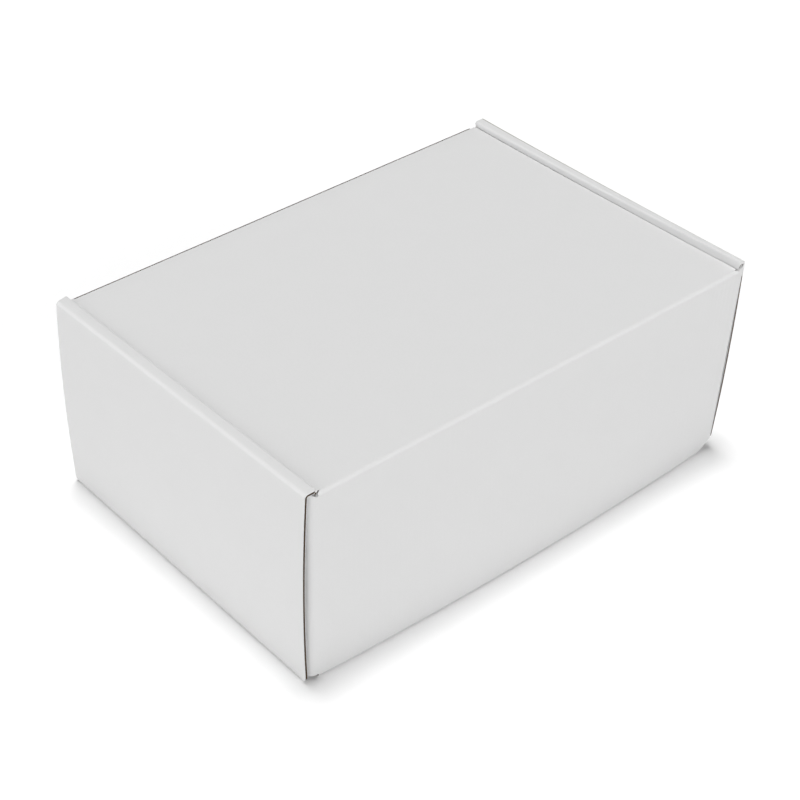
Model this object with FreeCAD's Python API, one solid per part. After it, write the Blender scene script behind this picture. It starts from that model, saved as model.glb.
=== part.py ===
# Mailer box of thin corrugated board, folded from one die-cut sheet.
# The base carries a back wall with the hinged lid, a front wall, and two end walls.
# Each end wall is rolled: up outside, across a narrow top strip, and down inside,
# where its tabs lock in slots of the base. Dust flaps of the front and back walls
# are held inside the rolls.
# Origin at the middle of the underside, X along the hinge, lid hinged at +Y, Z up.
import FreeCAD, Part
import math
import os

Vector = FreeCAD.Vector

# Overall size in millimetres, over the outer faces of the board at its folds
box_length = 300.0
box_depth = 203.0
end_wall_height = 121.2
lid_drop = 2.0
front_wall_drop = 1.8

# Board, and the inside radii of its hard creases and of its soft upright folds
board = 1.6
crease_radius = 0.4
upright_fold_radius = 3.0

# Rolled end walls
roll_slack = 2.4
end_wall_bow = 1.5
end_wall_inset = 0.3
end_wall_corner = 4.0
shoulder_height = 1.8

# Tabs of the inner end panels and their slots in the base
tab_width = 32.0
tab_spacing = 104.0
tab_recess = 0.3
tab_corner = 0.8
slot_side_gap = 0.3
slot_end_gap = 0.8

# Dust flaps at the ends of the front and back walls
dust_flap_length = 72.0
dust_flap_corner = 9.0
dust_flap_taper = 4.0

# Notch beside each end of a wall's top edge, under the rolled top
notch_depth = 2.1
notch_width = 2.6

# Lid, with its front tuck flap and its two side flaps
tuck_flap_length = 45.0
tuck_flap_taper = 5.0
tuck_flap_corner = 11.0
side_flap_length = 34.0
side_flap_taper = 14.0
side_flap_corner = 8.0
lid_corner_relief = 4.0

# Clearances between panels that lie beside each other
panel_gap = 0.3
lid_gap = 0.4
edge_gap = 0.5
swing_gap = 0.3
hinge_gap = 0.12

# Places that follow from the sizes above
half_length = box_length / 2
half_depth = box_depth / 2
crease_outer = crease_radius + board
upright_fold_outer = upright_fold_radius + board
roll_width = 3 * board + roll_slack
lid_top = end_wall_height - lid_drop
front_wall_top = lid_top - front_wall_drop
inner_panel_face = half_length - roll_width
dust_flap_face = half_length - board - panel_gap
wall_half = dust_flap_face - upright_fold_outer
lid_half = inner_panel_face - lid_gap
crease_half = lid_half - crease_outer
under_roll = end_wall_height - board - edge_gap
lid_front = half_depth - board - lid_gap
clear = 2 * box_depth


def in_xz(u, v):
    return Vector(u, 0, v)


def in_yz(u, v):
    return Vector(0, u, v)


def in_xy(u, v):
    return Vector(u, v, 0)


def unit(a, b):
    length = math.hypot(b[0] - a[0], b[1] - a[1])
    return (b[0] - a[0]) / length, (b[1] - a[1]) / length


def shifted_path(points, distance):
    """The path moved sideways, to the left of its direction, by an even distance."""
    directions = [unit(a, b) for a, b in zip(points, points[1:])]
    moved = []
    for i, point in enumerate(points):
        before = directions[max(i - 1, 0)]
        after = directions[min(i, len(directions) - 1)]
        share = distance / (1 + before[0] * after[0] + before[1] * after[1])
        moved.append((point[0] - share * (before[1] + after[1]),
                      point[1] + share * (before[0] + after[0])))
    return moved


def rounded_edges(points, radius, plane, bows):
    """Edges along an open path: an arc of the radius at each inner point.

    A straight run named in bows swells to the right of its direction by that much."""
    ends = [points[0]]
    arcs = []
    for before, corner, after in zip(points, points[1:], points[2:]):
        back = unit(corner, before)
        on = unit(corner, after)
        half_angle = math.acos(back[0] * on[0] + back[1] * on[1]) / 2
        reach = radius / math.tan(half_angle)
        start = (corner[0] + reach * back[0], corner[1] + reach * back[1])
        stop = (corner[0] + reach * on[0], corner[1] + reach * on[1])
        inward = unit((0, 0), (back[0] + on[0], back[1] + on[1]))
        depth = radius / math.sin(half_angle) - radius
        middle = (corner[0] + depth * inward[0], corner[1] + depth * inward[1])
        arcs.append((start, middle, stop))
        ends += [start, stop]
    ends.append(points[-1])
    edges = []
    for run in range(len(points) - 1):
        a = ends[2 * run]
        b = ends[2 * run + 1]
        bow = bows.get(run, 0)
        if bow:
            along = unit(a, b)
            middle = ((a[0] + b[0]) / 2 + bow * along[1], (a[1] + b[1]) / 2 - bow * along[0])
            edges.append(Part.Arc(plane(*a), plane(*middle), plane(*b)).toShape())
        else:
            edges.append(Part.LineSegment(plane(*a), plane(*b)).toShape())
        if run < len(arcs):
            start, middle, stop = arcs[run]
            edges.append(Part.Arc(plane(*start), plane(*middle), plane(*stop)).toShape())
    return edges


def folded_board(points, plane, low, high, inner_radius=crease_radius, bows=None):
    """Board whose outer face follows the path, with the board to the left of it.

    It is folded softly at each inner point, and runs from low to high across the plane."""
    bows = bows or {}
    outer = rounded_edges(points, inner_radius + board, plane, bows)
    inner_points = shifted_path(points, board)
    inner = rounded_edges(inner_points, inner_radius, plane, bows)
    first_cut = Part.LineSegment(plane(*points[0]), plane(*inner_points[0])).toShape()
    last_cut = Part.LineSegment(plane(*points[-1]), plane(*inner_points[-1])).toShape()
    edges = outer + [last_cut] + inner[::-1] + [first_cut]
    section = Part.Face(Part.Wire(Part.__sortEdges__(edges)))
    return across(section, plane, low, high)


def across(section, plane, low, high):
    """A flat section in the plane, made a solid from low to high along its normal."""
    along = {in_xz: Vector(0, 1, 0), in_yz: Vector(1, 0, 0), in_xy: Vector(0, 0, 1)}[plane]
    section.translate(along * low)
    return section.extrude(along * (high - low))


def outline(points, radii, plane, low, high):
    """Prism with a closed outline whose corners are rounded by the radii, none at 0."""
    edges = []
    count = len(points)
    stops = []
    starts = []
    arcs = []
    for i, corner in enumerate(points):
        back = unit(corner, points[i - 1])
        on = unit(corner, points[(i + 1) % count])
        half_angle = math.acos(back[0] * on[0] + back[1] * on[1]) / 2
        reach = radii[i] / math.tan(half_angle)
        depth = radii[i] / math.sin(half_angle) - radii[i]
        inward = unit((0, 0), (back[0] + on[0], back[1] + on[1]))
        starts.append((corner[0] + reach * back[0], corner[1] + reach * back[1]))
        stops.append((corner[0] + reach * on[0], corner[1] + reach * on[1]))
        arcs.append((corner[0] + depth * inward[0], corner[1] + depth * inward[1]))
    for i in range(count):
        if radii[i]:
            bend = Part.Arc(plane(*starts[i]), plane(*arcs[i]), plane(*stops[i]))
            edges.append(bend.toShape())
        after = starts[(i + 1) % count]
        edges.append(Part.LineSegment(plane(*stops[i]), plane(*after)).toShape())
    section = Part.Face(Part.Wire(edges))
    return across(section, plane, low, high)


def mirrored(shape, normal):
    return shape.mirror(Vector(0, 0, 0), normal)


def mitre(side):
    """What lies beyond the slanting plane through the crease: on the lid's side for 1,
    and on the back wall's side for -1. Half of the hinge's gap is added to it."""
    reach = 4 * crease_outer
    shift = side * hinge_gap / 2 / math.sqrt(2)
    corner = (half_depth + shift, lid_top - shift)
    points = [(corner[0] + reach, corner[1] + reach),
              (corner[0] - side * reach, corner[1] + side * reach),
              (corner[0] - reach, corner[1] - reach)]
    return outline(points, [0, 0, 0], in_yz, -box_length, box_length)


def base_and_walls():
    """Front wall, base and back wall, folded as one channel, up to the lid's crease."""
    path = [(-half_depth, front_wall_top),
            (-half_depth, 0),
            (half_depth, 0),
            (half_depth, lid_top),
            (half_depth - 2 * crease_outer, lid_top)]
    channel = folded_board(path, in_yz, -wall_half, wall_half)
    return channel.cut(mitre(1))


def wall_corner():
    """Upright fold at the +X end of the back wall, and the dust flap behind the end wall."""
    path = [(dust_flap_face, half_depth - dust_flap_length),
            (dust_flap_face, half_depth),
            (wall_half - board, half_depth)]
    flap = folded_board(path, in_xy, crease_outer + edge_gap, under_roll, upright_fold_radius)
    far_end = half_depth - dust_flap_length
    low = crease_outer + edge_gap
    shape = [(half_depth, low),
             (half_depth, under_roll),
             (half_depth - upright_fold_outer, under_roll),
             (far_end, under_roll - dust_flap_taper),
             (far_end, low + dust_flap_taper),
             (half_depth - upright_fold_outer, low)]
    radii = [0, 0, 0, dust_flap_corner, dust_flap_corner, 0]
    return flap.common(outline(shape, radii, in_yz, 0, box_length))


def notch(wall_top):
    """What is cut away over the +X end of a wall, from the end of its top edge outwards."""
    foot = crease_half + notch_width
    points = [(crease_half, wall_top),
              (foot, wall_top - notch_depth),
              (dust_flap_face - board, under_roll),
              (box_length, under_roll),
              (box_length, clear),
              (crease_half, clear)]
    return outline(points, [0] * 6, in_xz, half_depth - upright_fold_outer, box_depth)


def walls():
    """The channel with its four upright folds and dust flaps, notched at the top corners."""
    body = base_and_walls()
    to_back = wall_corner()
    for normal in (None, Vector(1, 0, 0)):
        for front in (False, True):
            corner = mirrored(to_back, Vector(0, 1, 0)) if front else to_back
            cut = notch(front_wall_top if front else lid_top)
            cut = mirrored(cut, Vector(0, 1, 0)) if front else cut
            if normal:
                corner = mirrored(corner, normal)
                cut = mirrored(cut, normal)
            body = body.fuse(corner).cut(cut)
    return body


def outer_end_panel():
    """The +X end wall from the base's edge, up its bowed outer panel, to the top strip."""
    path = [(wall_half - board, 0),
            (half_length, 0),
            (half_length, end_wall_height),
            (half_length - roll_width / 2, end_wall_height)]
    reach = half_depth - end_wall_inset
    panel = folded_board(path, in_xz, -reach, reach, bows={1: end_wall_bow})
    shape = [(-reach, 0), (reach, 0), (reach, clear), (-reach, clear)]
    radii = [end_wall_corner, end_wall_corner, 0, 0]
    return panel.common(outline(shape, radii, in_yz, 0, box_length))


def tab_places():
    return (-tab_spacing / 2, tab_spacing / 2)


def inner_end_panel():
    """The +X end wall from its top strip down inside the box, with its locking tabs."""
    foot = board + panel_gap
    path = [(half_length - roll_width / 2, end_wall_height),
            (inner_panel_face, end_wall_height),
            (inner_panel_face, tab_recess)]
    reach = half_depth - end_wall_inset
    panel = folded_board(path, in_xz, -reach, reach)
    narrow = half_depth - board - edge_gap
    bend = end_wall_height - crease_outer
    shape = [(-narrow, foot), (narrow, foot), (narrow, bend - shoulder_height), (reach, bend),
             (reach, clear), (-reach, clear), (-reach, bend), (-narrow, bend - shoulder_height)]
    panel_outline = outline(shape, [0] * 8, in_yz, 0, box_length)
    for middle in tab_places():
        left = middle - tab_width / 2
        right = middle + tab_width / 2
        tab = [(left, tab_recess), (right, tab_recess), (right, 2 * foot), (left, 2 * foot)]
        tab_prism = outline(tab, [tab_corner, tab_corner, 0, 0], in_yz, 0, box_length)
        panel_outline = panel_outline.fuse(tab_prism)
    return panel.common(panel_outline)


def base_slots():
    """The holes in the base, at +X, that the tabs lock in."""
    low = inner_panel_face - slot_side_gap
    high = inner_panel_face + board + slot_side_gap
    holes = []
    for middle in tab_places():
        left = middle - tab_width / 2 - slot_end_gap
        right = middle + tab_width / 2 + slot_end_gap
        points = [(low, left), (high, left), (high, right), (low, right)]
        holes.append(outline(points, [0] * 4, in_xy, -board, 2 * board))
    return holes[0].fuse(holes[1])


def tray():
    """Everything of the sheet below the lid's crease."""
    body = walls()
    for normal in (None, Vector(1, 0, 0)):
        outer = outer_end_panel()
        inner = inner_end_panel()
        slots = base_slots()
        if normal:
            outer, inner, slots = [mirrored(s, normal) for s in (outer, inner, slots)]
        body = body.fuse(outer).cut(slots).fuse(inner)
    return body.removeSplitter()


def tuck_lean():
    """How far the tuck flap leans inwards, so that its edge swings clear of the front wall."""
    pivot = hinge_axis()
    corner = (-lid_front, lid_top)
    distance = math.hypot(pivot[0] - corner[0], pivot[1] - corner[1])
    dip = math.atan2(pivot[1] - corner[1], pivot[0] - corner[0])
    reach = pivot[0] + half_depth - board - swing_gap
    cosine = (distance ** 2 + tuck_flap_length ** 2 - reach ** 2) / (2 * distance * tuck_flap_length)
    return math.pi / 2 + dip - math.acos(cosine)


def hinge_axis():
    """The hinge in the YZ plane: the middle of the crease's outer arc."""
    inset = crease_outer * (1 - math.sqrt(0.5))
    return half_depth - inset, lid_top - inset


def lid_panel():
    """The lid from its rear crease to the end of its tuck flap."""
    lean = tuck_lean()
    tip_y = -lid_front + tuck_flap_length * math.sin(lean)
    tip_z = lid_top - tuck_flap_length * math.cos(lean)
    path = [(half_depth, lid_top - 2 * crease_outer),
            (half_depth, lid_top),
            (-lid_front, lid_top),
            (tip_y, tip_z)]
    panel = folded_board(path, in_yz, -crease_half, crease_half)
    panel = panel.cut(mitre(-1))
    fold_end = lid_top - crease_outer - edge_gap
    root = crease_half - board - edge_gap
    tip = root - tuck_flap_taper
    front = [(-clear, clear), (-clear, fold_end), (-root, fold_end), (-tip, tip_z - board),
             (tip, tip_z - board), (root, fold_end), (clear, fold_end), (clear, clear)]
    radii = [0, 0, 0, tuck_flap_corner, tuck_flap_corner, 0, 0, 0]
    flap_outline = outline(front, radii, in_xz, -box_depth, box_depth)
    return panel.common(flap_outline)


def side_flap():
    """The lid's edge fold and side flap at +X, tucked inside the rolled end wall."""
    tip_z = lid_top - side_flap_length
    path = [(lid_half, tip_z),
            (lid_half, lid_top),
            (crease_half - board, lid_top)]
    rear = half_depth - lid_corner_relief
    front = -lid_front + lid_corner_relief
    flap = folded_board(path, in_xz, front, rear)
    fold_end = lid_top - crease_outer
    shape = [(front, clear), (front, fold_end), (front + side_flap_taper, tip_z),
             (rear - side_flap_taper, tip_z), (rear, fold_end), (rear, clear)]
    radii = [0, 0, side_flap_corner, side_flap_corner, 0, 0]
    return flap.common(outline(shape, radii, in_yz, 0, box_length))


def lid():
    """Lid panel with its tuck flap and side flaps, as one folded piece."""
    body = lid_panel()
    flap = side_flap()
    return body.fuse(flap).fuse(mirrored(flap, Vector(1, 0, 0))).removeSplitter()


def save(shape, name):
    print(name, len(shape.Solids), "solid, valid", shape.isValid(), "mm3", round(shape.Volume))
    shape.exportStep("parts/" + name + ".step")


os.makedirs("parts", exist_ok=True)
save(tray(), "tray")
save(lid(), "lid")
print("hinge axis at y, z", hinge_axis(), "lean", math.degrees(tuck_lean()))
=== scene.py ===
import math
import bmesh
import bpy
import numpy as np
from mathutils import Euler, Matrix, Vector


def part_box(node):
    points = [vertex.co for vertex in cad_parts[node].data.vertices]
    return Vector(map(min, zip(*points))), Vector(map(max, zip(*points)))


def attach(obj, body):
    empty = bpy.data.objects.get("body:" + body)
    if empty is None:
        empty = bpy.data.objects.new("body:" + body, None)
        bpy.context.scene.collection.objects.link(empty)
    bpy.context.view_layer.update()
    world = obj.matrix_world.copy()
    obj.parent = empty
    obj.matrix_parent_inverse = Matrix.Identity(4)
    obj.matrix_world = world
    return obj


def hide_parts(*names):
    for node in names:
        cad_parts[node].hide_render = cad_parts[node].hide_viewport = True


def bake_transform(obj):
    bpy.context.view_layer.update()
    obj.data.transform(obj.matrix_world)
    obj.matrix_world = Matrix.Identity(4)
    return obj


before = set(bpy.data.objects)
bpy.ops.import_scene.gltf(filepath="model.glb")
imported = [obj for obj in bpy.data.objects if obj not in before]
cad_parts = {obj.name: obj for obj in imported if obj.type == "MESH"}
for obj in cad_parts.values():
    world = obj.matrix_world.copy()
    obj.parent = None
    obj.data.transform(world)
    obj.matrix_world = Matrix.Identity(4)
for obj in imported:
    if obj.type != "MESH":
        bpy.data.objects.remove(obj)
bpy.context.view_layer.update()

MM = 0.001

# Sizes of the folded sheet, in millimetres. The overall ones come from the frame.
board = 1.6
crease_radius = 0.4
crease_margin = 0.1
upright_fold_radius = 3.0
pinched_fold_radius = 0.7
end_wall_bow = 1.5
end_wall_inset = 0.3
end_wall_corner = 4.0
roll_slack = 2.4
shoulder_height = 1.8
front_wall_drop = 1.8
panel_gap = 0.3
lid_gap = 0.4
edge_gap = 0.5
tab_width = 32.0
tab_spacing = 104.0
tab_recess = 0.3
slot_side_gap = 0.3
slot_end_gap = 0.8
dust_flap_length = 72.0
dust_flap_corner = 9.0
dust_flap_taper = 4.0
notch_depth = 2.1
notch_width = 2.6
tuck_flap_length = 45.0
tuck_flap_taper = 5.0
tuck_flap_corner = 11.0
side_flap_length = 34.0
side_flap_taper = 14.0
side_flap_corner = 8.0
lid_corner_relief = 2.15
corner_fill = 0.15
front_relief = 0.6
inner_roll_radius = 1.2
front_fold_radius = 1.4
side_fold_radius = 0.5

tray_high = np.array(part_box("tray")[1]) / MM
lid_low, lid_high = (np.array(corner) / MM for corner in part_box("lid"))
half_length = round(tray_high[0], 1) - end_wall_bow
half_depth = round(tray_high[1], 1)
roll_top = round(tray_high[2], 1)
lid_top = round(lid_high[2], 1)
lid_half = round(lid_high[0], 1)
tuck_tip = lid_low[2]

# Places that follow from the sizes
crease_outer = crease_radius + board
front_wall_top = lid_top - front_wall_drop
inner_panel_face = half_length - 3 * board - roll_slack
dust_flap_face = half_length - board - panel_gap
crease_half = lid_half - crease_outer
crease_turn = crease_outer + crease_margin
crease_reach = crease_turn + board
notch_foot = crease_half + notch_width
under_roll = roll_top - board - edge_gap
lid_front = half_depth - board - lid_gap
seam_x = inner_panel_face - 2 * slot_side_gap
end_reach = half_depth - end_wall_inset
inner_reach = half_depth - board - edge_gap
stub_reach = end_reach - end_wall_corner
tab_middles = (-tab_spacing / 2, tab_spacing / 2)

# How far the box has settled out of true. The end wall at -X flares out towards the back,
# at its seam with the base and lid and at its face, while its foot is drawn in.
highest_up = 1.1
flare_growth = 1.4
face_flare = 3.8
seam_flare = 7.9
foot_tuck = 3.2
seam_tuck = 0.6

# The end wall at +X stands a little out at the front and in at the back
plus_seam_out = 0.4
plus_seam_fall = 1.2
plus_face_out = 1.0
plus_foot_in = 1.5
plus_back_in = 0.5

# The rolled tops stand higher towards the back
lift_growth = 3
minus_lift = 0.9
minus_lift_rise = 1.9
plus_lift_rise = 0.9
plus_lift_drop = 0.2

# The back wall's foot bulges, the base's back corner at -X curls up, the front edge leans out
bulge_start = 0.5
bulge_growth = 1.5
base_bulge = 4.2
corner_curl = 5.0
curl_length = 18.0
curl_width = 12.0
curl_height = 40.0
lean_start = 0.6
front_lean = 1.2

# The front end of the -X roll is drawn in, and the back end of its raw edge is crushed
roll_draw = 2.2
draw_width = 2.6
draw_start = 0.8
draw_slant = 0.6
draw_growth = 4
crushed_end = 7.0

# A thin line of painted shade lies on the outer fold of the -X roll, between these degrees off the
# upright, where the fold turns away from the light
shade_line_start = 6.0
shade_line_stop = 52.0

# The board's layers: two liners with a wavy medium between them
liner = 0.28
medium = 0.2
flute_pitch = 3.3
flute_steps = 8
flute_swing = (board - 2 * liner - medium) / 2
wave_number = 2 * math.pi / flute_pitch
ribbon = 9.0
core_inset = 0.3
pinched_inset = 0.02
tightest = 0.05

# Steps between the rows of a grid, along the board
core_step = 10
panel_step = 8
dust_flap_step = 6
wall_step = 5
pinched_step = 2
roll_step = 0.5
notch_step = 0.4
crease_step = 0.3
fold_rows = 8
flank_rows = 12
tip_rows = 14
corner_rows = 8
tuck_corner_rows = 10
tab_rows = 3
front_edge_rows = (0.5, 1.0, 1.5, 2.5)
wall_foot_rows = (0.3, 0.7, 1.2, 2.0)
half_step = 0.01
last_corner_angle = 1.5
touching = 1e-9
same_row = 1e-6

# Columns of a grid, across the board
box_columns = 36
wall_columns = 24
pinched_columns = 12
dust_flap_columns = 10
flap_columns = 8
core_columns = 4
flank_columns = 2
stub_columns = 5
drawn_columns = 6
drawn_share = 0.016

# Edges that bend by less than this are smooth
smooth_limit = math.radians(32)

# White liner: its tones, its faint clouds and fibres, and the washboard of the flutes
outside_tone = 0.66
inside_tone = 0.64
cloud_scale = 60.0
cloud_detail = 3.0
cloudiness = 0.006
fibre_scale = 1800.0
fibre_detail = 4.0
fibre_low = 0.3
fibre_high = 0.7
speck_dark = 0.985
speck_light = 1.01
# Colour of the painted shade: a dull dark line on the far side of the -X roll's outer fold
painted_shade_colour = (0.25, 0.245, 0.19, 1)
wave_strength = 0.5
wave_relief = 0.000014
white_grain = 0.4
white_relief = 0.00003
white_roughness = 0.62
white_shine = 0.3

# Brown fluting paper
kraft_scale = 900.0
kraft_detail = 5.0
kraft_tones = ((0.3, (0.085, 0.055, 0.033, 1)), (0.75, (0.2, 0.14, 0.09, 1)))
kraft_grain = 0.6
kraft_relief = 0.00006
kraft_roughness = 0.85
kraft_shine = 0.2

# Floor
white = (1, 1, 1, 1)
floor_colour = (0.95, 0.95, 0.95, 1)
floor_roughness = 0.9
floor_lift = 0.025
floor_half = 4.0

# Light from all round: bright below one height, dim above another, and dim away from +X +Y
low_glow = 1.74
high_glow = 0.06
back_glow = 0.15
glow_low = math.sin(math.radians(18))
glow_high = math.sin(math.radians(46))
glow_towards = (math.sqrt(0.5), math.sqrt(0.5), 0)
glow_away = -0.75

# Distant lights: azimuth, elevation, strength and width, with their angles in degrees
overhead = (338, 83.6, 0.73 * math.pi, 17)
side_fill = (90, 12, 0.01 * math.pi, 40)

# Camera: lens and sensor in millimetres, place in metres and turn in degrees
camera_lens = 92.757
camera_sensor = 36.0
camera_place = (0.60096, 0.66406, 0.73647)
camera_turn = (52.2716, -1.4153, 138.9949)


def unit(vector):
    return vector / np.linalg.norm(vector)


def left(vector):
    return np.array([-vector[1], vector[0]])


class Run:
    """A flat run of board, with the radius and half-turn slope of the fold at each end."""

    def __init__(self, start, stop, here, along, before, after):
        self.start = start
        self.stop = stop
        self.here = here
        self.along = along
        self.before = before
        self.after = after

    def at(self, s, depth):
        low, high = [np.maximum(depth + tightest - radius, 0) * slope * (slope > 0)
                     for radius, slope in (self.before, self.after)]
        on = np.clip(s - self.start, low, self.stop - self.start - high)
        return self.here + self.along * on[..., None] + left(self.along) * depth[..., None]


class Bend:
    """An arc of board round a corner of the outer face."""

    def __init__(self, start, stop, corner, along, radius, slope):
        self.start = start
        self.stop = stop
        self.corner = corner
        self.along = along
        self.radius = radius
        self.slope = slope

    def at(self, s, depth):
        radius = np.maximum(self.radius, depth + tightest)[..., None]
        centre = self.corner + (left(self.along) - self.along * self.slope) * radius
        turned = ((s - self.start) / self.radius)[..., None]
        side = left(self.along) * np.cos(turned) - self.along * np.sin(turned)
        return centre - side * (radius - depth[..., None])


class Fold:
    """Folded board seen on edge: runs joined by arcs along its outer face, board on the left.

    Radii are of the outer face, one for each fold, and the last one stands for the rest.
    Where one is less than the board's thickness, the inner face is pressed together there."""

    def __init__(self, points, *radii):
        points = [np.array(p, float) for p in points]
        self.pieces = []
        here = points[0]
        done = 0.0
        before = (0.0, 0.0)
        for i, corner in enumerate(points[1:], 1):
            along = unit(corner - points[i - 1])
            last = i == len(points) - 1
            after = along if last else unit(points[i + 1] - corner)
            slope = math.tan(math.atan2(left(along) @ after, along @ after) / 2)
            radius = 0.0 if last else radii[min(i, len(radii)) - 1]
            stop = corner - along * radius * slope
            length = np.linalg.norm(stop - here)
            self.pieces.append(Run(done, done + length, here, along, before, (radius, slope)))
            done += length
            if not last:
                turn = 2 * math.atan(slope) * radius
                self.pieces.append(Bend(done, done + turn, corner, along, radius, slope))
                done += turn
                here = corner + after * radius * slope
                before = (radius, slope)
        self.length = done

    def at(self, s, depth):
        """Places in the fold's plane, at distances s along the outer face and below it."""
        s, depth = np.broadcast_arrays(np.asarray(s, float), np.asarray(depth, float))
        places = np.zeros(s.shape + (2,))
        for piece in self.pieces:
            last = piece is self.pieces[-1]
            inside = (s >= piece.start - touching) & ((s < piece.stop) | last)
            places[inside] = piece.at(s, depth)[inside]
        return places

    def rows(self, start, stop, step):
        """Distances from start to stop, closer together round the folds."""
        found = [start, stop]
        for piece in self.pieces:
            low = max(piece.start, start)
            high = min(piece.stop, stop)
            if high > low:
                flat = max(1, round((high - low) / step))
                count = fold_rows if isinstance(piece, Bend) else flat
                found.extend(np.linspace(low, high, count + 1))
        found = np.array(sorted(found))
        return found[np.insert(np.diff(found) > same_row, 0, True)]


def in_xz(flat, across):
    return np.stack([flat[..., 0], across, flat[..., 1]], -1)


def in_yz(flat, across):
    return np.stack([across, flat[..., 0], flat[..., 1]], -1)


def in_xy(flat, across):
    return np.stack([flat[..., 0], flat[..., 1], across], -1)


def shell(top, bottom, keep):
    """Points and faces of a closed thin solid between two grids, of the kept cells alone,
    and for each face whether it is on the top, the bottom or a side."""
    n, m = top.shape[:2]
    points = np.concatenate([top.reshape(-1, 3), bottom.reshape(-1, 3)])
    under = n * m
    faces = []
    kinds = []
    padded = np.pad(keep, 1)
    for i, j in zip(*np.nonzero(keep)):
        a = i * m + j
        b = a + m
        c = b + 1
        d = a + 1
        faces.append((a, b, c, d))
        faces.append((d + under, c + under, b + under, a + under))
        kinds.extend(("top", "bottom"))
        beside = ((padded[i + 1, j], a, b), (padded[i + 2, j + 1], b, c),
                  (padded[i + 1, j + 2], c, d), (padded[i, j + 1], d, a))
        for taken, p, q in beside:
            if not taken:
                faces.append((q, p, p + under, q + under))
                kinds.append("side")
    return points, faces, kinds


class Stock:
    """Closed shells of one layer that move together, gathered into one piece.

    The kind of face that is named as glued is brown, as the inside of the board is."""

    def __init__(self, name, slot, material, glued=None):
        self.name = name
        self.slot = slot
        self.material = material
        self.glued = glued
        self.points = []
        self.faces = []
        self.kinds = []
        self.waves = []
        self.count = 0

    def add(self, points, faces, kinds, waves, mirrors):
        for mirror in mirrors:
            self.points.append(points * np.array(mirror))
            self.faces.extend([tuple(v + self.count for v in face) for face in faces])
            self.kinds.extend(kinds)
            self.waves.append(waves)
            self.count += len(points)

    def make(self):
        points = np.concatenate(self.points)
        mesh = bpy.data.meshes.new(self.name)
        mesh.from_pydata((settled(points) * MM).tolist(), [], self.faces)
        mesh.materials.append(self.material)
        mesh.materials.append(brown)
        sides = [int(kind == self.glued) for kind in self.kinds]
        mesh.polygons.foreach_set("material_index", sides)
        note(mesh, "flute", np.concatenate(self.waves))
        # Marks the line of painted shade on the -X roll's outer fold, for the liner's material to
        # read
        note(mesh, "painted_shade", painted_shade_line(points))
        clean(mesh)
        piece = bpy.data.objects.new(self.name, mesh)
        bpy.context.scene.collection.objects.link(piece)
        return piece


def note(mesh, name, values):
    """Writes a value for each point of a mesh, for its material to read."""
    attribute = mesh.attributes.new(name, "FLOAT", "POINT")
    attribute.data.foreach_set("value", values.astype(np.float32))


def clean(mesh):
    """Drops loose points, turns all faces outwards and smooths all but the sharp edges."""
    work = bmesh.new()
    work.from_mesh(mesh)
    loose = [v for v in work.verts if not v.link_faces]
    bmesh.ops.delete(work, geom=loose, context="VERTS")
    bmesh.ops.recalc_face_normals(work, faces=work.faces)
    for face in work.faces:
        face.smooth = True
    for edge in work.edges:
        edge.smooth = edge.calc_face_angle(0) < smooth_limit
    work.to_mesh(mesh)
    work.free()


def settled(points):
    """The sheet as it has settled in use, a little out of true. Points in millimetres."""
    x, y, z = points.T
    back = np.clip((y + half_depth) / (2 * half_depth), 0, 1)
    up = np.clip(z / roll_top, 0, highest_up)
    lean = back ** flare_growth
    moved = points.copy()
    moved[:, 0] -= flare(x, back, up, lean)
    moved[:, 1] += bulge(x, y, up) - front_edge_lean(x, y, up) + drawn_roll(x, y, up)
    moved[:, 2] += roll_lift(x, back, up, lean) + curl(x, y, z)
    return moved


def flare(x, back, up, lean):
    """How far the ends have moved towards -X, most at the end walls' seams and faces."""
    places = [0, inner_panel_face, half_length]
    seam_share = [0, 1, 0]
    face_share = [0, 0, 1]
    minus_seam = lean * (seam_flare * up - seam_tuck * (1 - up))
    minus_face = lean * (face_flare * up - foot_tuck * (1 - up))
    plus_seam = plus_seam_out - plus_seam_fall * back
    plus_face = (1 - back) * (plus_face_out * up - plus_foot_in * (1 - up))
    plus_face -= plus_back_in * back
    moved = np.interp(-x, places, seam_share) * minus_seam
    moved += np.interp(-x, places, face_share) * minus_face
    moved -= np.interp(x, places, seam_share) * plus_seam
    moved -= np.interp(x, places, face_share) * plus_face
    return moved


def roll_lift(x, back, up, lean):
    """How far the rolled tops stand above their true height."""
    rolled = ease(np.abs(x), lid_half, inner_panel_face) * up ** lift_growth
    minus = minus_lift + minus_lift_rise * lean
    plus = plus_lift_rise * back - plus_lift_drop
    return rolled * np.where(x < 0, minus, plus)


def bulge(x, y, up):
    """How far the back wall's foot stands out."""
    low = np.clip(1 - up, 0, 1) ** bulge_growth
    middle = 1 - np.clip(x / half_length, -1, 1) ** 2
    return base_bulge * ease(y, bulge_start * half_depth, half_depth) * low * middle


def front_edge_lean(x, y, up):
    """How far the front edge leans out, between the end walls."""
    between_ends = 1 - ease(np.abs(x), inner_panel_face, half_length)
    near_front = ease(-y, lean_start * half_depth, half_depth)
    return front_lean * near_front * up ** 2 * between_ends


def drawn_roll(x, y, up):
    """How far the front end of the -X roll is drawn in."""
    pulled = ease(-x, lid_half - draw_width, inner_panel_face)
    pulled *= ease(-y, draw_start * half_depth, half_depth)
    pulled *= 1 - draw_slant * ease(-x, inner_panel_face, half_length)
    return roll_draw * pulled * up ** draw_growth


def curl(x, y, z):
    """How far the base's back corner at -X has curled up."""
    curled = ease(-x, half_length - curl_length, half_length)
    curled *= ease(y, half_depth - curl_width, half_depth)
    return corner_curl * curled * np.clip(1 - z / curl_height, 0, 1)


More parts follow.
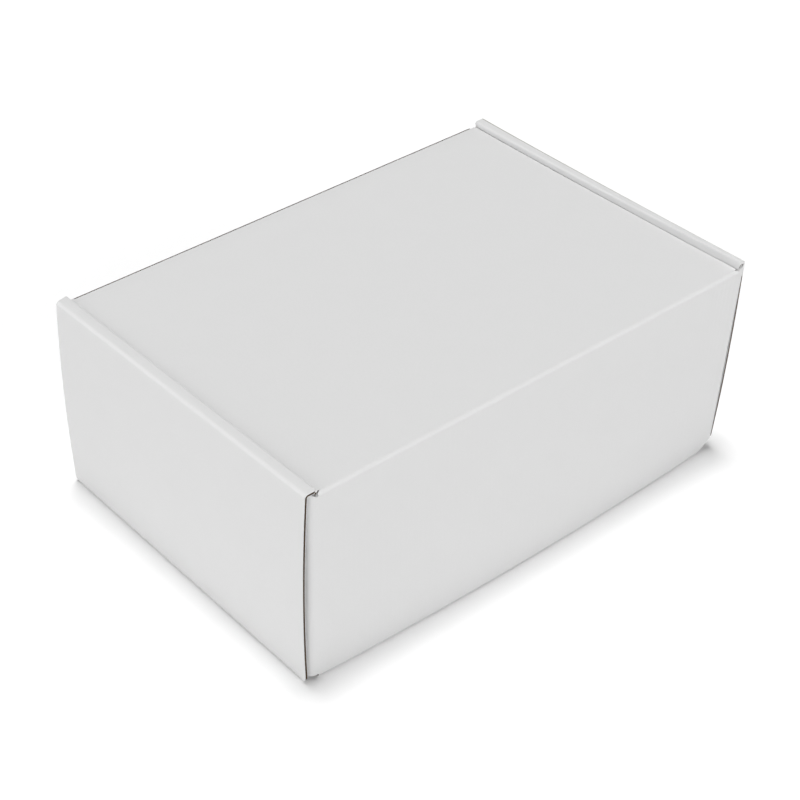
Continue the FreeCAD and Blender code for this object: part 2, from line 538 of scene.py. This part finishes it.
def painted_shade_line(points):
    """1 where a thin dull line of painted shade lies, along the outer fold of the -X roll, on its
    side that turns away from the light.
    """
    x, _, z = points.T
    centre_x = crease_outer - half_length
    centre_z = roll_top - crease_outer
    tilt = np.degrees(np.arctan2(centre_x - x, z - centre_z))
    radius = np.hypot(centre_x - x, z - centre_z)
    at_fold = (tilt > shade_line_start) & (tilt < shade_line_stop) & (radius > crease_outer - liner / 2)
    return at_fold.astype(float)


def ease(value, start, stop):
    """0 up to start and 1 from stop on, with a smooth rise between them."""
    t = np.clip((value - start) / (stop - start), 0, 1)
    return t * t * (3 - 2 * t)


ONE = ((1, 1, 1),)
SIDES = ((1, 1, 1), (-1, 1, 1))
CORNERS = ((1, 1, 1), (-1, 1, 1), (1, -1, 1), (-1, -1, 1))


class Panel:
    """One stretch of folded board, given by its path, its plane and its two side edges."""

    def __init__(self, fold, plane, low, high, mirrors=ONE, swell=None, along_flutes=False):
        self.fold = fold
        self.plane = plane
        self.low = low
        self.high = high
        self.mirrors = mirrors
        self.swell = swell or (lambda s: 0 * s)
        self.along_flutes = along_flutes

    def grid(self, rows, fractions, inset=(0, 0)):
        low = self.low(rows) + inset[0]
        high = self.high(rows) - inset[1]
        across = low[:, None] + (high - low)[:, None] * np.asarray(fractions)
        return np.broadcast_to(rows[:, None], across.shape), across

    def place(self, s, across, depth):
        return self.plane(self.fold.at(s, depth - self.swell(s)), across)

    def layer(self, stock, s, across, upper, lower, keep=None):
        keep = np.ones((s.shape[0] - 1, s.shape[1] - 1), bool) if keep is None else keep
        found = shell(self.place(s, across, upper), self.place(s, across, lower), keep)
        wave = across if self.along_flutes else s
        stock.add(*found, np.tile(wave.reshape(-1), 2), self.mirrors)

    def liners(self, body, rows, fractions):
        s, across = self.grid(rows, fractions)
        self.layer(body["outer"], s, across, 0.0, liner)
        self.layer(body["inner"], s, across, board - liner, board)

    def core(self, stock, rows, fractions, inset):
        s, across = self.grid(rows, fractions, inset)
        self.layer(stock, s, across, liner, board - liner)

    def waves(self, body, s, across, along_wave):
        """The wavy medium, given how far along its wave each place is."""
        middle = board / 2 + flute_swing * np.sin(wave_number * along_wave)
        self.layer(body["fluting"], s, across, middle - medium / 2, middle + medium / 2)

    def side_flutes(self, body, start, stop, sides=(True, True)):
        """The wavy medium at the side edges, whose ends show there."""
        count = round((stop - start) / flute_pitch * flute_steps)
        rows = np.linspace(start, stop, count + 1)
        for at_low, wanted in zip((True, False), sides):
            if wanted:
                edge = self.low(rows) if at_low else self.high(rows)
                inward = ribbon if at_low else -ribbon
                across = edge[:, None] + inward * evenly(1)
                s = np.broadcast_to(rows[:, None], across.shape)
                self.waves(body, s, across, rows[:, None])

    def end_flutes(self, body, start, stop, half_width):
        """The wavy medium at a cut across the path, between two stretches of it."""
        count = round(2 * half_width / flute_pitch * flute_steps)
        columns = np.linspace(-half_width, half_width, count + 1)
        rows = np.array([start, (start + stop) / 2, stop])
        across = np.broadcast_to(columns, (len(rows), len(columns)))
        s = np.broadcast_to(rows[:, None], across.shape)
        self.waves(body, s, across, columns)


def evenly(count):
    return np.linspace(0, 1, count + 1)


def closer_at_ends():
    """Even columns across the box, with closer ones where its corners are drawn in."""
    near = np.linspace(0, drawn_share, drawn_columns)
    return np.unique(np.concatenate([evenly(box_columns), near, 1 - near]))


def together(*rows):
    return np.unique(np.concatenate(rows))


def fixed(value):
    return lambda s: np.full(np.shape(s), float(value))


def rounding(distance, radius):
    """How far a corner of that radius draws an edge in, at a distance from the other edge."""
    into = np.clip(radius - distance, 0, radius)
    return radius - np.sqrt(np.maximum(radius ** 2 - into ** 2, 0))


def base_and_walls(body):
    """Front wall, base and back wall, up to the crease of the lid."""
    fold = Fold([(-half_depth, front_wall_top), (-half_depth, 0), (half_depth, 0),
                 (half_depth, lid_top - crease_reach)], crease_outer)

    def edge(s):
        slope = (seam_x - crease_half) / (notch_foot - crease_half) * notch_depth
        return seam_x - (seam_x - crease_half) * np.clip(1 - s / slope, 0, 1)

    panel = Panel(fold, in_yz, lambda s: -edge(s), edge, along_flutes=True)
    rows = together(front_edge_rows, fold.rows(0, fold.length, panel_step))
    panel.liners(body, rows, closer_at_ends())
    rows = fold.rows(ribbon, fold.length, panel_step)
    panel.core(body["fluting"], rows, closer_at_ends(), (0, 0))
    panel.end_flutes(body, 0, ribbon, crease_half)
    flank = Panel(fold, in_yz, fixed(crease_half), edge, SIDES, along_flutes=True)
    rows = np.linspace(core_inset, ribbon, flank_rows)
    flank.core(body["pinched"], rows, evenly(flank_columns), (0, core_inset))


def wall_corners(body):
    """Upright folds at the ends of the front and back walls, and the dust flaps."""
    for corner in CORNERS:
        pinched = corner == (-1, 1, 1)
        radius = pinched_fold_radius if pinched else upright_fold_radius + board
        wall_corner(body, corner, radius)


def wall_corner(body, corner, radius):
    """One upright fold with its dust flap, whose top steps down under the roll."""
    fold = Fold([(dust_flap_face, half_depth - dust_flap_length),
                 (dust_flap_face, half_depth),
                 (seam_x, half_depth)], radius)
    foot = crease_outer + edge_gap
    flap = dust_flap_length - radius

    def drawn_in(s):
        taper = dust_flap_taper * np.clip(1 - s / flap, 0, 1)
        return taper + rounding(s, dust_flap_corner)

    def top(s):
        x = fold.at(s, 0)[..., 0]
        y = fold.at(s, 0)[..., 1]
        slope = np.interp(x, [seam_x, notch_foot, dust_flap_face - board],
                          [lid_top - notch_depth * (seam_x - crease_half) / notch_width,
                           lid_top - notch_depth, under_roll])
        ledge = np.where(y > half_depth - radius, slope, under_roll)
        return ledge - drawn_in(s)

    def low(s):
        return foot + drawn_in(s)

    panel = Panel(fold, in_xy, low, top, (corner,))
    notch_start = fold.length - (dust_flap_face - board - seam_x)
    rows = together(np.linspace(0, dust_flap_corner, corner_rows),
                    fold.rows(dust_flap_corner, fold.length, dust_flap_step),
                    [fold.length - (notch_foot - seam_x), fold.length - notch_step])
    panel.liners(body, rows, evenly(dust_flap_columns))
    rows = fold.rows(core_inset, fold.length, core_step)
    panel.core(body["fluting"], rows, evenly(core_columns), (ribbon, ribbon))
    panel.side_flutes(body, dust_flap_corner, notch_start)
    rows = fold.rows(notch_start, fold.length, notch_step)
    panel.core(body["pinched"], rows, evenly(core_columns), (ribbon, core_inset / 2))


def end_walls(body):
    """The two rolled end walls. The roll at -X has its back end crushed shut."""
    plus_side, minus_side = SIDES
    end_wall(body, plus_side, 0.0)
    end_wall(body, minus_side, crushed_end)


def end_wall(body, side, crushed):
    """A rolled end wall: outer panel, top strip and inner panel with its two tabs."""
    fold = Fold([(seam_x, 0), (half_length, 0), (half_length, roll_top),
                 (inner_panel_face, roll_top), (inner_panel_face, tab_recess)],
                crease_outer, crease_outer, inner_roll_radius)
    stub, _, outer, _, _, inner_fold, inner = fold.pieces
    foot = fold.length - (board + panel_gap - tab_recess)
    shoulder = inner_fold.stop + 2 * shoulder_height

    def reach(s):
        height = fold.at(s, 0)[..., 1]
        lower = rounding(height, end_wall_corner) * (s < outer.stop)
        narrowed = (end_reach - inner_reach) * np.clip((s - inner.start) / shoulder_height, 0, 1)
        return end_reach - lower - narrowed

    def swell(s):
        share = np.clip((s - outer.start) / (outer.stop - outer.start), 0, 1)
        return end_wall_bow * (1 - (2 * share - 1) ** 2)

    panel = Panel(fold, in_xz, lambda s: -reach(s), reach, (side,), swell)
    rows = together(fold.rows(stub.stop, foot, wall_step), outer.start + np.array(wall_foot_rows))
    panel.liners(body, rows, evenly(wall_columns))
    rows = fold.rows(stub.stop, foot, core_step)
    panel.core(body["fluting"], rows, evenly(core_columns), (ribbon, ribbon))
    panel.side_flutes(body, 0, inner_fold.start, (True, False))
    panel.side_flutes(body, shoulder, foot)
    open_end = outer.stop - crushed if crushed else inner_fold.start
    panel.side_flutes(body, 0, open_end, (False, True))
    if crushed:
        back_edge = Panel(fold, in_xz, lambda s: reach(s) - ribbon, reach, (side,), swell)
        rows = fold.rows(open_end, inner_fold.start, pinched_step)
        back_edge.core(body["pinched"], rows, evenly(flank_columns), (0, pinched_inset))
    rows = fold.rows(inner_fold.start, shoulder, roll_step)
    panel.core(body["pinched"], rows, evenly(core_columns), (pinched_inset, pinched_inset))
    floor_stub(body, side, fold, stub.stop)
    tabs(body, side, fold, foot)


def floor_stub(body, side, fold, stop):
    """The end of the base, from its seam to the end wall's foot, with slots for the tabs."""
    stub = Panel(fold, in_xz, fixed(-stub_reach), fixed(stub_reach), (side,))
    slot_stop = slot_side_gap + board + 2 * slot_side_gap
    rows = np.array([0, slot_side_gap, slot_stop, stop])
    slot_half = tab_width / 2 + slot_end_gap
    slots = [middle + half for middle in tab_middles for half in (-slot_half, slot_half)]
    ends = np.linspace(stub_reach - ribbon, stub_reach, stub_columns)
    columns = np.sort(np.concatenate([slots, -ends, ends]))
    inside = columns[np.abs(columns) <= stub_reach - ribbon]

    def slotted_layer(stock, columns, upper, lower):
        s, across = np.meshgrid(rows, columns, indexing="ij")
        middles = (columns[1:] + columns[:-1]) / 2
        keep = np.ones((len(rows) - 1, len(middles)), bool)
        keep[1, np.abs(np.abs(middles) - tab_spacing / 2) < tab_width / 2] = False
        stub.layer(stock, s, across, upper, lower, keep)

    slotted_layer(body["outer"], columns, 0.0, liner)
    slotted_layer(body["inner"], columns, board - liner, board)
    slotted_layer(body["fluting"], inside, liner, board - liner)


def tabs(body, side, fold, foot):
    """The two tabs at the foot of an inner panel, which lock in the base."""
    for middle in tab_middles:
        tab = Panel(fold, in_xz, fixed(middle - tab_width / 2), fixed(middle + tab_width / 2),
                    (side,))
        rows = np.linspace(foot, fold.length, tab_rows)
        tab.liners(body, rows, evenly(flap_columns))
        rows = np.linspace(foot, fold.length - core_inset / 2, tab_rows)
        tab.core(body["fluting"], rows, evenly(flap_columns), (core_inset, core_inset))


def lid_fold():
    """The lid's path from its crease, over its front fold, to the end of its tuck flap."""
    drop = lid_top - tuck_tip
    lean = math.acos(min(1.0, drop / tuck_flap_length))
    tip = (-lid_front + tuck_flap_length * math.sin(lean),
           lid_top - tuck_flap_length * math.cos(lean))
    return Fold([(half_depth - crease_reach, lid_top), (-lid_front, lid_top), tip],
                front_fold_radius)


def lid_panel(body):
    """The lid's top with its tuck flap, which is narrower than the top."""
    fold = lid_fold()
    _, _, tuck = fold.pieces
    step = tuck.start + edge_gap / 2
    root = crease_half - board - edge_gap
    straight = root - tuck_flap_taper - tuck_flap_corner
    tip_start = fold.length - ribbon

    def edge(s):
        flap = np.clip((s - tuck.start) / (fold.length - tuck.start), 0, 1)
        tapered = root - tuck_flap_taper * flap - rounding(fold.length - s, tuck_flap_corner)
        return np.where(s > step, tapered, crease_half)

    panel = Panel(fold, in_yz, lambda s: -edge(s), edge, along_flutes=True)
    near_step = [step - half_step, step + half_step]
    angles = np.linspace(0, math.pi / 2, tuck_corner_rows)
    corner = fold.length - tuck_flap_corner * (1 - np.sin(angles))
    rows = together(fold.rows(0, fold.length, panel_step), near_step, corner)
    panel.liners(body, rows, closer_at_ends())
    rows = fold.rows(0, lid_corner_relief, pinched_step)
    inset = (core_inset / 2, core_inset / 2)
    panel.core(body["pinched"], rows, evenly(pinched_columns), inset)
    rows = together(fold.rows(lid_corner_relief, tip_start, panel_step), near_step)
    panel.core(body["fluting"], rows, closer_at_ends(), (core_inset, core_inset))
    panel.end_flutes(body, tip_start, fold.length, straight)
    flank = Panel(fold, in_yz, fixed(straight), edge, SIDES, along_flutes=True)
    rows = np.linspace(tip_start, fold.length - core_inset, tip_rows)
    flank.core(body["fluting"], rows, evenly(flank_columns), (0, core_inset))


def side_flaps(body):
    """The lid's edge folds, with the side flaps that tuck in beside the end walls."""
    fold = Fold([(lid_half, lid_top - side_flap_length), (lid_half, lid_top),
                 (crease_half, lid_top)], side_fold_radius)
    flap = fold.pieces[0].stop

    def drawn_in(s):
        slant = side_flap_taper * np.clip(1 - s / flap, 0, 1)
        return slant + rounding(s, side_flap_corner)

    panel = Panel(fold, in_xz, lambda s: front_relief - lid_front + drawn_in(s),
                  lambda s: half_depth - lid_corner_relief - drawn_in(s), SIDES)
    angles = np.linspace(0, last_corner_angle, corner_rows)
    rows = together(fold.rows(0, fold.length, wall_step), side_flap_corner * np.sin(angles) ** 2)
    panel.liners(body, rows, evenly(wall_columns))
    rows = fold.rows(core_inset, fold.length, core_step)
    panel.core(body["fluting"], rows, evenly(flap_columns), (ribbon, ribbon))
    panel.side_flutes(body, core_inset, fold.length)


def lid_crease(body):
    """The short stretch of board that bends between the back wall and the lid."""
    fold = Fold([(half_depth, lid_top - crease_reach), (half_depth, lid_top),
                 (half_depth - crease_reach, lid_top)], crease_outer)

    def edge(s):
        below = lid_top - fold.at(s, 0)[..., 1]
        flank = crease_half + below / notch_depth * notch_width
        filled = np.minimum(crease_half + below / corner_fill, lid_half - crease_margin)
        return np.minimum(np.maximum(flank, filled), seam_x)

    panel = Panel(fold, in_yz, lambda s: -edge(s), edge, along_flutes=True)
    rows = fold.rows(0, fold.length, crease_step)
    panel.liners(body, rows, evenly(box_columns))
    inset = (core_inset / 2, core_inset / 2)
    panel.core(body["pinched"], rows, evenly(box_columns), inset)


def shader(name):
    """A new material, with its nodes and its main shader."""
    material = bpy.data.materials.new(name)
    material.use_nodes = True
    tree = material.node_tree
    return material, tree, tree.nodes["Principled BSDF"]


def fill(tree, made, inputs):
    """Sets a node's inputs: from another node's output, or else to a value."""
    for key, value in inputs.items():
        if isinstance(value, bpy.types.NodeSocket):
            tree.links.new(value, made.inputs[key])
        else:
            made.inputs[key].default_value = value


def node(tree, kind, inputs=None, **settings):
    made = tree.nodes.new(kind)
    for key, value in settings.items():
        setattr(made, key, value)
    fill(tree, made, inputs or {})
    return made


def noise(tree, place, scale, detail):
    inputs = {"Vector": place, "Scale": scale, "Detail": detail}
    return node(tree, "ShaderNodeTexNoise", inputs).outputs["Fac"]


def ranged(tree, value, low, high, **settings):
    """The value's range from low to high, moved to another: each is a pair of from and to."""
    inputs = {"Value": value, "From Min": low[0], "From Max": high[0],
              "To Min": low[1], "To Max": high[1]}
    return node(tree, "ShaderNodeMapRange", inputs, **settings).outputs["Result"]


def product(tree, first, second):
    return node(tree, "ShaderNodeMath", {0: first, 1: second}, operation="MULTIPLY").outputs[0]


def noted(tree, name):
    return node(tree, "ShaderNodeAttribute", attribute_name=name).outputs["Fac"]


def bump(tree, height, strength, distance, **over):
    inputs = {"Height": height, "Strength": strength, "Distance": distance, **over}
    return node(tree, "ShaderNodeBump", inputs).outputs["Normal"]


def washboard(tree):
    """Faint waves in the liner, over the flutes."""
    turn = product(tree, noted(tree, "flute"), wave_number)
    ripple = node(tree, "ShaderNodeMath", {0: turn}, operation="SINE").outputs[0]
    return bump(tree, ripple, wave_strength, wave_relief)


def mixed(tree, share, first, second):
    """A colour between two, by the sockets that the mix node has for colours."""
    inputs = {0: share, 6: first, 7: second}
    return node(tree, "ShaderNodeMix", inputs, data_type="RGBA").outputs[2]


def white_liner(name, tone):
    """Matt white-faced liner: faint cloudiness, fibres, painted shade along a marked line, and the
    washboard of the flutes.
    """
    material, tree, main = shader(name)
    place = node(tree, "ShaderNodeTexCoord").outputs["Object"]
    cloud = noise(tree, place, cloud_scale, cloud_detail)
    fibre = noise(tree, place, fibre_scale, fibre_detail)
    shade = ranged(tree, cloud, (0, tone - cloudiness), (1, tone + cloudiness))
    speck = ranged(tree, fibre, (fibre_low, speck_dark), (fibre_high, speck_light))
    grey = product(tree, shade, speck)
    unshaded_colour = node(tree, "ShaderNodeCombineColor", {"Red": grey, "Green": grey, "Blue": grey})
    # Mixes in the painted shade colour where the mesh marks the dark line on the -X roll's outer
    # fold
    colour = mixed(tree, noted(tree, "painted_shade"), unshaded_colour.outputs[0], painted_shade_colour)
    fill(tree, main, {
        "Base Color": colour,
        "Normal": bump(tree, fibre, white_grain, white_relief, Normal=washboard(tree)),
        "Roughness": white_roughness,
        "Specular IOR Level": white_shine})
    return material


def kraft_medium(name):
    """Brown fluting paper, a little uneven in colour."""
    material, tree, main = shader(name)
    place = node(tree, "ShaderNodeTexCoord").outputs["Object"]
    fibre = noise(tree, place, kraft_scale, kraft_detail)
    ramp = node(tree, "ShaderNodeValToRGB", {"Fac": fibre})
    for element, (position, colour) in zip(ramp.color_ramp.elements, kraft_tones):
        element.position = position
        element.color = colour
    fill(tree, main, {
        "Base Color": ramp.outputs["Color"],
        "Normal": bump(tree, fibre, kraft_grain, kraft_relief),
        "Roughness": kraft_roughness,
        "Specular IOR Level": kraft_shine})
    return material


outer_face = white_liner("white_liner_outside", outside_tone)
inner_face = white_liner("white_liner_inside", inside_tone)
brown = kraft_medium("kraft_fluting")


def layers(prefix, slot, glued_outer="bottom", glued_inner="top"):
    return {"outer": Stock(prefix + "_outer_liner", slot, outer_face, glued_outer),
            "inner": Stock(prefix + "_inner_liner", slot, inner_face, glued_inner),
            "pinched": Stock(prefix + "_pinched_edges", slot, inner_face),
            "fluting": Stock(prefix + "_fluting", slot, brown)}


tray = layers("tray", "tray_board")
base_and_walls(tray)
wall_corners(tray)
end_walls(tray)
lid = layers("lid", "lid_board")
lid_panel(lid)
side_flaps(lid)
crease = layers("crease", "lid_board", None, None)
lid_crease(crease)

for body, stocks in (("tray", tray), ("lid", lid)):
    for stock in stocks.values():
        if stock.faces:
            piece = stock.make()
            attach(piece, body)
            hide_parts(body)
for stock in crease.values():
    if stock.faces:
        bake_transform(stock.make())


def floor_material():
    """White floor that keeps the object's shadow."""
    material, tree, main = shader("white_floor")
    fill(tree, main, {
        "Base Color": floor_colour,
        "Roughness": floor_roughness,
        "Specular IOR Level": 0.0})
    seen = node(tree, "ShaderNodeLightPath").outputs["Is Camera Ray"]
    lift = product(tree, seen, floor_lift)
    glow = node(tree, "ShaderNodeEmission", {"Color": white, "Strength": lift})
    both = node(tree, "ShaderNodeAddShader", {0: main.outputs[0], 1: glow.outputs[0]})
    fill(tree, tree.nodes["Material Output"], {"Surface": both.outputs[0]})
    return material


def make_floor():
    mesh = bpy.data.meshes.new("floor")
    corners = [(x * floor_half, y * floor_half, 0)
               for x, y in ((-1, -1), (1, -1), (1, 1), (-1, 1))]
    mesh.from_pydata(corners, [], [(0, 1, 2, 3)])
    mesh.materials.append(floor_material())
    floor = bpy.data.objects.new("floor", mesh)
    bpy.context.scene.collection.objects.link(floor)


def distant_light(name, azimuth, elevation, strength, width):
    """Soft distant light from a compass direction: 0 from -Y, 90 from +X."""
    data = bpy.data.lights.new(name, "SUN")
    data.energy = strength
    data.angle = math.radians(width)
    lamp = bpy.data.objects.new(name, data)
    a = math.radians(azimuth)
    e = math.radians(elevation)
    towards = Vector((math.sin(a) * math.cos(e), -math.cos(a) * math.cos(e), math.sin(e)))
    lamp.rotation_euler = towards.to_track_quat("Z", "Y").to_euler()
    bpy.context.scene.collection.objects.link(lamp)


def make_world():
    """Soft light that is bright near the horizon on the +X +Y side, seen as plain white."""
    world = bpy.data.worlds.new("studio")
    bpy.context.scene.world = world
    world.use_nodes = True
    tree = world.node_tree
    place = node(tree, "ShaderNodeTexCoord").outputs["Generated"]
    height = node(tree, "ShaderNodeSeparateXYZ", {"Vector": place}).outputs["Z"]
    glow = ranged(tree, height, (glow_low, low_glow), (glow_high, high_glow),
                  interpolation_type="SMOOTHSTEP")
    towards = node(tree, "ShaderNodeVectorMath", {0: place, 1: glow_towards},
                   operation="DOT_PRODUCT").outputs["Value"]
    near = ranged(tree, towards, (glow_away, back_glow), (0, 1), interpolation_type="SMOOTHSTEP")
    seen = node(tree, "ShaderNodeLightPath").outputs["Is Camera Ray"]
    level = ranged(tree, seen, (0, product(tree, glow, near)), (1, 1))
    fill(tree, tree.nodes["Background"], {"Color": white, "Strength": level})


def make_camera():
    data = bpy.data.cameras.new("camera")
    data.lens = camera_lens
    data.sensor_width = camera_sensor
    camera = bpy.data.objects.new("camera", data)
    camera.location = camera_place
    camera.rotation_euler = Euler([math.radians(a) for a in camera_turn], "XYZ")
    bpy.context.scene.collection.objects.link(camera)
    bpy.context.scene.camera = camera


make_floor()
make_world()
distant_light("overhead", *overhead)
distant_light("side_fill", *side_fill)
make_camera()
bpy.context.scene.view_settings.view_transform = "Standard"
